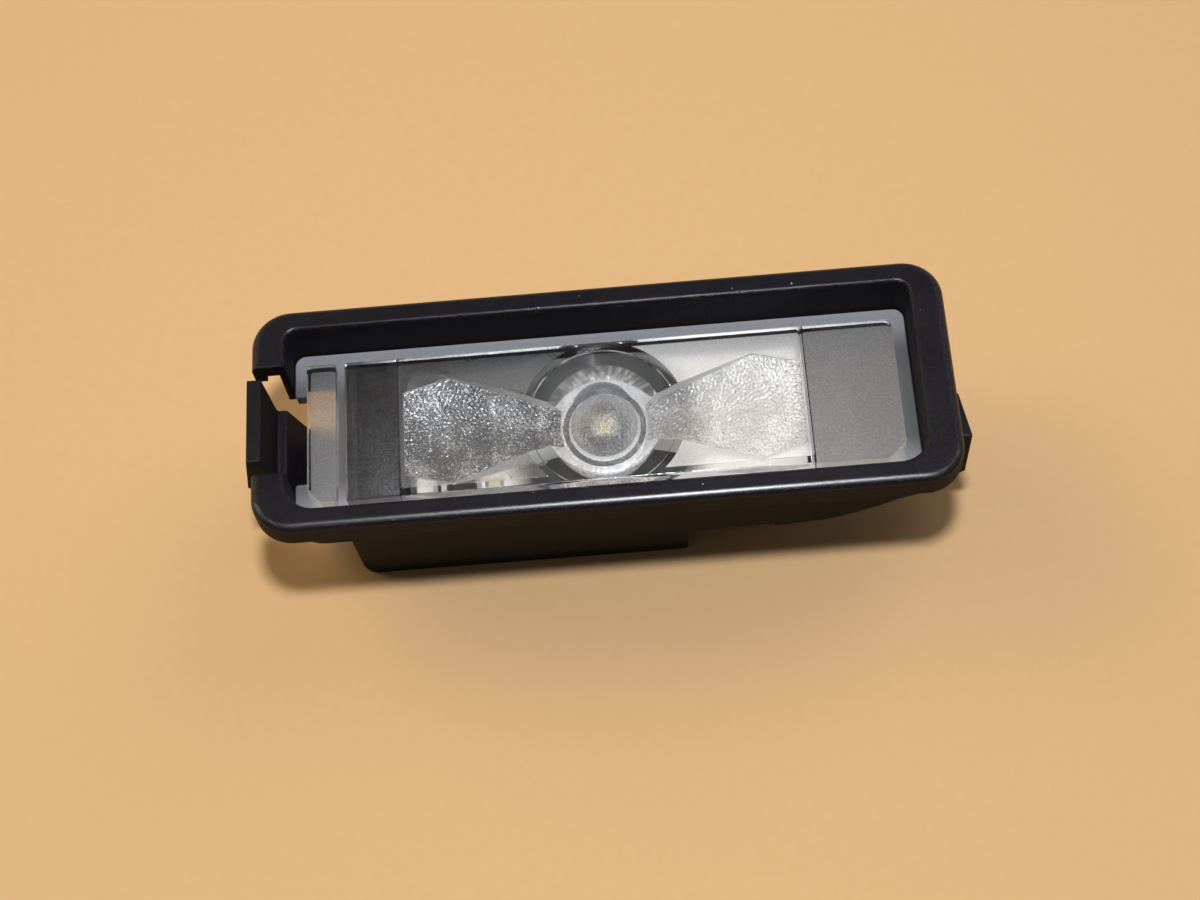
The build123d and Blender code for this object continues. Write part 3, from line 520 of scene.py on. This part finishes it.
# The flange, with a notch for the latch; the rest of the lens is joined to it.
LENS_HALF_LENGTH, LENS_HALF_WIDTH, FLANGE_EDGE = 33.22, 10.22, 0.2
CORNER_NEAR, CORNER_FAR = 2.92, 1.22
NOTCH_X, NOTCH_HALF, NOTCH_MOUTH, NOTCH_ROOT = -31.72, 5.2, 0.35, 0.25
lens_clear = pressed_block(
    "lens_clear",
    [(-LENS_HALF_LENGTH, -LENS_HALF_WIDTH), (LENS_HALF_LENGTH, -LENS_HALF_WIDTH),
     (LENS_HALF_LENGTH, LENS_HALF_WIDTH), (-LENS_HALF_LENGTH, LENS_HALF_WIDTH),
     (-LENS_HALF_LENGTH, NOTCH_HALF), (NOTCH_X, NOTCH_HALF),
     (NOTCH_X, -NOTCH_HALF), (-LENS_HALF_LENGTH, -NOTCH_HALF)],
    [CORNER_NEAR, CORNER_NEAR, CORNER_FAR, CORNER_FAR, NOTCH_MOUTH, NOTCH_ROOT, NOTCH_ROOT, NOTCH_MOUTH],
    SEAT, FLANGE_TOP, FLANGE_EDGE, around_finish=FROSTED, high_finish=FROSTED)

# The two raised blocks: a strip and a field, each with one near corner cut off.
BLOCK_HALF_WIDTH, BLOCK_ROOT, BLOCK_EDGE, BLOCK_SHARP = 8.2, 0.7, 0.25, 0.3
STRIP_LEFT, STRIP_RIGHT, STRIP_CUT, STRIP_ROUND = -31.7, -28.55, 1.5, 0.4
FIELD_LEFT, FIELD_RIGHT, FIELD_CUT, FIELD_ROUND = -27.6, 31.6, 1.9, 0.9
strip = pressed_block(
    "lens_strip",
    [(STRIP_LEFT + STRIP_CUT, -BLOCK_HALF_WIDTH), (STRIP_RIGHT, -BLOCK_HALF_WIDTH),
     (STRIP_RIGHT, BLOCK_HALF_WIDTH), (STRIP_LEFT, BLOCK_HALF_WIDTH),
     (STRIP_LEFT, STRIP_CUT - BLOCK_HALF_WIDTH)],
    [BLOCK_SHARP, BLOCK_SHARP, BLOCK_SHARP, STRIP_ROUND, BLOCK_SHARP],
    SEAT + BLOCK_ROOT, BLOCK_TOP, BLOCK_EDGE)
field = pressed_block(
    "lens_field",
    [(FIELD_LEFT, -BLOCK_HALF_WIDTH), (FIELD_RIGHT - FIELD_CUT, -BLOCK_HALF_WIDTH),
     (FIELD_RIGHT, FIELD_CUT - BLOCK_HALF_WIDTH), (FIELD_RIGHT, BLOCK_HALF_WIDTH),
     (FIELD_LEFT, BLOCK_HALF_WIDTH)],
    [BLOCK_SHARP, BLOCK_SHARP, BLOCK_SHARP, FIELD_ROUND, BLOCK_SHARP],
    SEAT + BLOCK_ROOT, BLOCK_TOP, BLOCK_EDGE)

# The score line: a shallow groove across the field, an oval carried from far to near.
SCORE_X, SCORE_HALF_WIDTH, SCORE_HALF_HEIGHT, SCORE_SINK = 21.6, 0.17, 0.22, 0.12
SCORE_REACH, SCORE_POINTS = 9.0, 24
score_turn = np.linspace(0.0, 2 * math.pi, SCORE_POINTS, endpoint=False)
score_ring = np.stack([SCORE_X + SCORE_HALF_WIDTH * np.cos(score_turn), 0.0 * score_turn,
                       BLOCK_TOP - SCORE_SINK + SCORE_HALF_HEIGHT * np.sin(score_turn)], -1)
score_ends = np.array([[0.0, SCORE_REACH, 0.0], [0.0, -SCORE_REACH, 0.0]])
groove = closed_piece("lens_score", score_ring[None] + score_ends[:, None])

# The bowl: a steep bowed wall up from the narrow foot round the light source, a flat step and a lip.
BOWL_RADIUS, FOOT_RADIUS, FOOT, BOWL_ROOT = 8.9, 4.5, 7.2, 0.5
BOWL_LIP, BOWL_STEP, BOWL_WALL = (8.1, SEAT - 0.15), (8.0, SEAT - 0.45), (6.4, SEAT - 0.8)
BOWL_WALL_BOW, BOWL_WALL_STEPS, BOWL_AROUND = 0.18, 24, 160


def arc_through(first, middle, last, steps):
    """Evenly turned points on the circle through three points, from the first to the last."""
    (ax, ay), (bx, by), (cx, cy) = first, middle, last
    d = 2 * (ax * (by - cy) + bx * (cy - ay) + cx * (ay - by))
    a2, b2, c2 = ax * ax + ay * ay, bx * bx + by * by, cx * cx + cy * cy
    ux = (a2 * (by - cy) + b2 * (cy - ay) + c2 * (ay - by)) / d
    uy = (a2 * (cx - bx) + b2 * (ax - cx) + c2 * (bx - ax)) / d
    start, end = math.atan2(ay - uy, ax - ux), math.atan2(cy - uy, cx - ux)
    angle = np.linspace(start, end, steps)
    radius = math.hypot(ax - ux, ay - uy)
    return np.stack([ux + radius * np.cos(angle), uy + radius * np.sin(angle)], -1)


wall_middle = ((FOOT_RADIUS + BOWL_WALL[0]) / 2 + BOWL_WALL_BOW, (FOOT + BOWL_WALL[1]) / 2)
bowl_wall = arc_through((FOOT_RADIUS, FOOT), wall_middle, BOWL_WALL, BOWL_WALL_STEPS)
bowl_rim = [BOWL_STEP, BOWL_LIP, (BOWL_RADIUS, SEAT), (BOWL_RADIUS, SEAT + BOWL_ROOT)]
bowl = turned_piece("lens_bowl", np.concatenate([bowl_wall, bowl_rim]), BOWL_AROUND,
                    around_finish=OPTIC, low_finish=GRAINED)

# The bell: the cap of a ball, hollowed out over the light source and stippled.
BELL_RADIUS, BELL_HEIGHT, BELL_RIM_TURN = 3.9, 3.2, math.radians(25)
BELL_LOW_TURN, BELL_TOP_TURN = -0.43 * math.pi, 0.4999 * math.pi
BELL_RINGS, BELL_AROUND, BELL_SEED = 100, 200, 13
STIPPLE_PITCH, STIPPLE_DEPTH = 0.1, 0.022
STIPPLE_LONG, STIPPLE_SHORT, STIPPLE_WAVES = 0.55, 0.22, 60


def stipple(x, y, seed):
    """Rounded pits: seeded waves of every direction, long and short, added up to unit spread."""
    draw = np.random.default_rng(seed)
    turn, start = draw.uniform(0.0, 2 * math.pi, (2, STIPPLE_WAVES))
    pace = 2 * math.pi / draw.uniform(STIPPLE_SHORT, STIPPLE_LONG, STIPPLE_WAVES)
    phase = (x[..., None] * np.cos(turn) + y[..., None] * np.sin(turn)) * pace + start
    return np.cos(phase).sum(-1) * math.sqrt(2.0 / STIPPLE_WAVES)


def domed_hollow(name, around, seed):
    """A ball's surface from below its widest ring to its top; the pits are added to its radius."""
    ball = (BELL_RADIUS ** 2 + BELL_HEIGHT ** 2) / (2 * BELL_HEIGHT)
    rise = np.linspace(BELL_LOW_TURN, BELL_TOP_TURN, BELL_RINGS)[:, None]
    angle = np.linspace(0.0, 2 * math.pi, around, endpoint=False)
    x, y = ball * np.cos(rise) * np.cos(angle), ball * np.cos(rise) * np.sin(angle)
    pitted = 1.0 + STIPPLE_DEPTH / ball * stipple(x, y, seed) * (rise > 0.0)
    z = FOOT + BELL_HEIGHT - ball + pitted * ball * np.sin(rise)
    finish = np.where(rise[1:] < BELL_RIM_TURN, EDGE, BELL)
    return closed_piece(name, np.stack([pitted * x, pitted * y, z], -1), finish, EDGE, BELL)


bell = domed_hollow("lens_bell", BELL_AROUND, BELL_SEED)

# The wings: three crowned sections joined by straight lines, their undersides stippled.
WING_X = [3.4, 16.4, 21.5]
WING_HALF = [1.7, 6.2, 4.8]
WING_DROP = [3.8, 0.5, 0.2]
WING_CROWN = [0.1, 0.9, 0.6]
WING_POINTS, WING_PLAIN_EDGE, WING_ROOT = 121, 0.06, 0.45
RIGHT_SEED, LEFT_SEED = 11, 12


def wing(name, side, seed, under_finish):
    """Sections across the lamp carried along it; the underside sags by a crown times 1 - v * v."""
    along = np.arange(WING_X[0], WING_X[2] + STIPPLE_PITCH / 2, STIPPLE_PITCH)
    half, drop, crown = (np.interp(along, WING_X, values)[:, None]
                         for values in (WING_HALF, WING_DROP, WING_CROWN))
    v = np.linspace(-1.0, 1.0, WING_POINTS)[None]
    across = half * v
    quiet = np.clip((1.0 - np.abs(v)) / WING_PLAIN_EDGE, 0.0, 1.0)
    pits = STIPPLE_DEPTH * quiet * stipple(along[:, None] + 0.0 * across, across, seed)
    under = SEAT - drop - crown * (1.0 - v * v) + pits
    top = np.full((len(along), 1), SEAT + WING_ROOT)
    y = np.concatenate([across, half, -half], 1)
    z = np.concatenate([under, top, top], 1)
    x = np.broadcast_to(along[:, None], y.shape)
    grid = np.stack([side * x, y, z], -1)
    finish = np.where(np.arange(y.shape[1]) < WING_POINTS - 1, under_finish, EDGE)
    return closed_piece(name, grid if side > 0 else grid[::-1], finish, EDGE, EDGE)


# The right wing takes a paler, milkier copy of the grained finish: painted light.
right_wing = wing("lens_wing_right", 1, RIGHT_SEED, BRIGHT_PAINTED_LIGHT)
left_wing = wing("lens_wing_left", -1, LEFT_SEED, GRAINED)

# The flat backs beside the optics are spark-eroded, a hair deeper than the seat.
MATT_DEPTH, MATT_REACH, MATT_CORNER, MATT_EDGE = 0.05, 1.0, 0.3, 0.02
MATT_BACKS = [
    ("lens_matt_strip", (-31.5, -8.1), (-28.7, 8.1), SATIN),
    # Darker finish for the left pad: painted shade.
    ("lens_matt_left", (-27.7, -8.2), (-22.1, 8.2), MATT_PAINTED_SHADE),
    ("lens_matt_middle_left", (-22.0, -6.4), (0.02, 8.2), HAZE),
    # Paler, milkier finishes for the right middle and the right pad: painted light.
    ("lens_matt_middle_right", (-0.02, -6.4), (22.0, 8.2), MILKY_PAINTED_LIGHT),
    ("lens_matt_right", (22.1, -8.2), (31.5, 8.2), PALE_PAINTED_LIGHT),
]
matt_backs = [
    pressed_block(name, [(left, near), (right, near), (right, far), (left, far)], [MATT_CORNER] * 4,
                  SEAT - MATT_REACH, SEAT + MATT_DEPTH, MATT_EDGE, high_finish=finish)
    for name, (left, near), (right, far), finish in MATT_BACKS]

# Blocks, bowl and wings are joined to the flange; matt backs, bell and groove are cut out of it.
SHARP_FROM = math.radians(32)
steps = [(tool, "UNION") for tool in (strip, field)]
steps += [(tool, "DIFFERENCE") for tool in matt_backs]
steps += [(tool, "UNION") for tool in (bowl, right_wing, left_wing)]
steps += [(tool, "DIFFERENCE") for tool in (bell, groove)]
for tool, action in steps:
    joined = lens_clear.modifiers.new(tool.name, "BOOLEAN")
    joined.operation = action
    joined.solver = "MANIFOLD"
    joined.object = tool
worked_out = lens_clear.evaluated_get(bpy.context.evaluated_depsgraph_get())
moulded = bpy.data.meshes.new_from_object(worked_out)
lens_clear.modifiers.clear()
lens_clear.data = moulded
for tool, _ in steps:
    bpy.data.objects.remove(tool)
moulded.set_sharp_from_angle(angle=SHARP_FROM)

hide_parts("lens")
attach(lens_clear, "root")

# Floor, lamps and camera
# A plain pale floor that the lamp lies on, a lamp overhead, a soft window light from the left
# and a dim sky that glows on one side. The camera looks down on the lens from the near side.
FLOOR_HALF, FLOOR_SINK = 1.6, 0.02
FLOOR_TONE, FLOOR_FLECK = (0.87, 0.54, 0.25, 1.0), (0.90, 0.57, 0.28, 1.0)
FIBRES_PER_METRE, FIBRE_DETAIL = 900.0, 4.0

floor_mesh = bpy.data.meshes.new("floor")
floor_mesh.from_pydata([(-FLOOR_HALF, -FLOOR_HALF, 0.0), (FLOOR_HALF, -FLOOR_HALF, 0.0),
                        (FLOOR_HALF, FLOOR_HALF, 0.0), (-FLOOR_HALF, FLOOR_HALF, 0.0)], [], [(0, 1, 2, 3)])
floor = bpy.data.objects.new("floor", floor_mesh)
bpy.context.collection.objects.link(floor)
floor.location.z = -FLOOR_SINK * MM
pale_floor, tree, place = finish_named("pale_floor")
fibre = put(tree, "TexNoise", {"Vector": place, "Scale": FIBRES_PER_METRE, "Detail": FIBRE_DETAIL})
cover(tree, {"Base Color": mix(tree, fibre.outputs["Fac"], FLOOR_TONE, FLOOR_FLECK), "Roughness": 0.85})
floor_mesh.materials.append(pale_floor)


def soft_lamp(name, towards, distance, size, watts, colour):
    """A rectangular soft lamp at a distance in one direction, turned to face the part."""
    lamp = bpy.data.lights.new(name, "AREA")
    lamp.shape = "RECTANGLE"
    lamp.size, lamp.size_y = size
    lamp.energy = watts
    lamp.color = colour
    made = bpy.data.objects.new(name, lamp)
    direction = Vector(towards).normalized()
    made.location = direction * distance
    made.rotation_euler = (-direction).to_track_quat("-Z", "Y").to_euler()
    bpy.context.collection.objects.link(made)


soft_lamp("overhead_lamp", towards=(0.04, -0.075, 1.0), distance=0.4, size=(0.04, 0.04),
          watts=0.96, colour=(0.90, 0.94, 1.0))
soft_lamp("window_light", towards=(-0.72, 0.46, 0.52), distance=0.9, size=(0.6, 0.6),
          watts=3.0, colour=(1.0, 0.80, 0.52))

# The sky: dim, a little lighter overhead, with one round soft glow.
SKY_WHITE = (1.0, 0.98, 0.95, 1.0)
SKY_FROM, SKY_LOW, SKY_HIGH = 0.3, 0.03, 0.09
GLOW_TOWARDS, GLOW_LEVEL = (0.62, 0.58, 0.53), 1.6
GLOW_OUTER, GLOW_INNER = math.cos(math.radians(28)), math.cos(math.radians(10))

world = bpy.data.worlds.new("studio")
world.use_nodes = True
tree = world.node_tree
outward = put(tree, "TexCoord").outputs["Generated"]
height = put(tree, "SeparateXYZ", {0: outward}).outputs["Z"]
dim_sky = ramp(tree, height, SKY_FROM, 1.0, SKY_LOW, SKY_HIGH, smooth=True)
glow_side = put(tree, "VectorMath", {0: outward, 1: Vector(GLOW_TOWARDS).normalized()},
                operation="DOT_PRODUCT").outputs["Value"]
glow = ramp(tree, glow_side, GLOW_OUTER, GLOW_INNER, 0.0, GLOW_LEVEL, smooth=True)
background = tree.nodes["Background"]
background.inputs["Color"].default_value = SKY_WHITE
tree.links.new(reckon(tree, "ADD", dim_sky, glow), background.inputs["Strength"])
bpy.context.scene.world = world

# The camera: turned by azimuth, elevation and roll round the middle of the lamp's face.
PHOTO_WIDTH, PHOTO_HEIGHT = 1200, 900
FOCAL_PIXELS, SENSOR_WIDTH, NEAREST = 2187.3, 36.0, 0.01
ELEVATION, AZIMUTH, ROLL = math.radians(64.37), math.radians(3.59), math.radians(-7.81)
DISTANCE, FACE = 229.11, 18.2
CENTRE_PIXEL = (600.42, 393.03)
back = Vector((math.sin(AZIMUTH) * math.cos(ELEVATION),
               -math.cos(AZIMUTH) * math.cos(ELEVATION), math.sin(ELEVATION)))
level = Vector((math.cos(AZIMUTH), math.sin(AZIMUTH), 0.0))
upright = back.cross(level)
right = level * math.cos(ROLL) + upright * math.sin(ROLL)
top = upright * math.cos(ROLL) - level * math.sin(ROLL)
off_x = (CENTRE_PIXEL[0] - PHOTO_WIDTH / 2) / FOCAL_PIXELS * DISTANCE
off_y = (PHOTO_HEIGHT / 2 - CENTRE_PIXEL[1]) / FOCAL_PIXELS * DISTANCE
eye = back * DISTANCE - right * off_x - top * off_y + Vector((0.0, 0.0, FACE))
camera_data = bpy.data.cameras.new("camera")
camera_data.sensor_fit = "HORIZONTAL"
camera_data.sensor_width = SENSOR_WIDTH
camera_data.lens = FOCAL_PIXELS / PHOTO_WIDTH * SENSOR_WIDTH
camera_data.clip_start = NEAREST
camera = bpy.data.objects.new("camera", camera_data)
turned = Matrix((right, top, back)).transposed().to_4x4()
camera.matrix_world = Matrix.Translation(eye * MM) @ turned
bpy.context.collection.objects.link(camera)
bpy.context.scene.camera = camera
bpy.context.scene.view_settings.view_transform = "Standard"
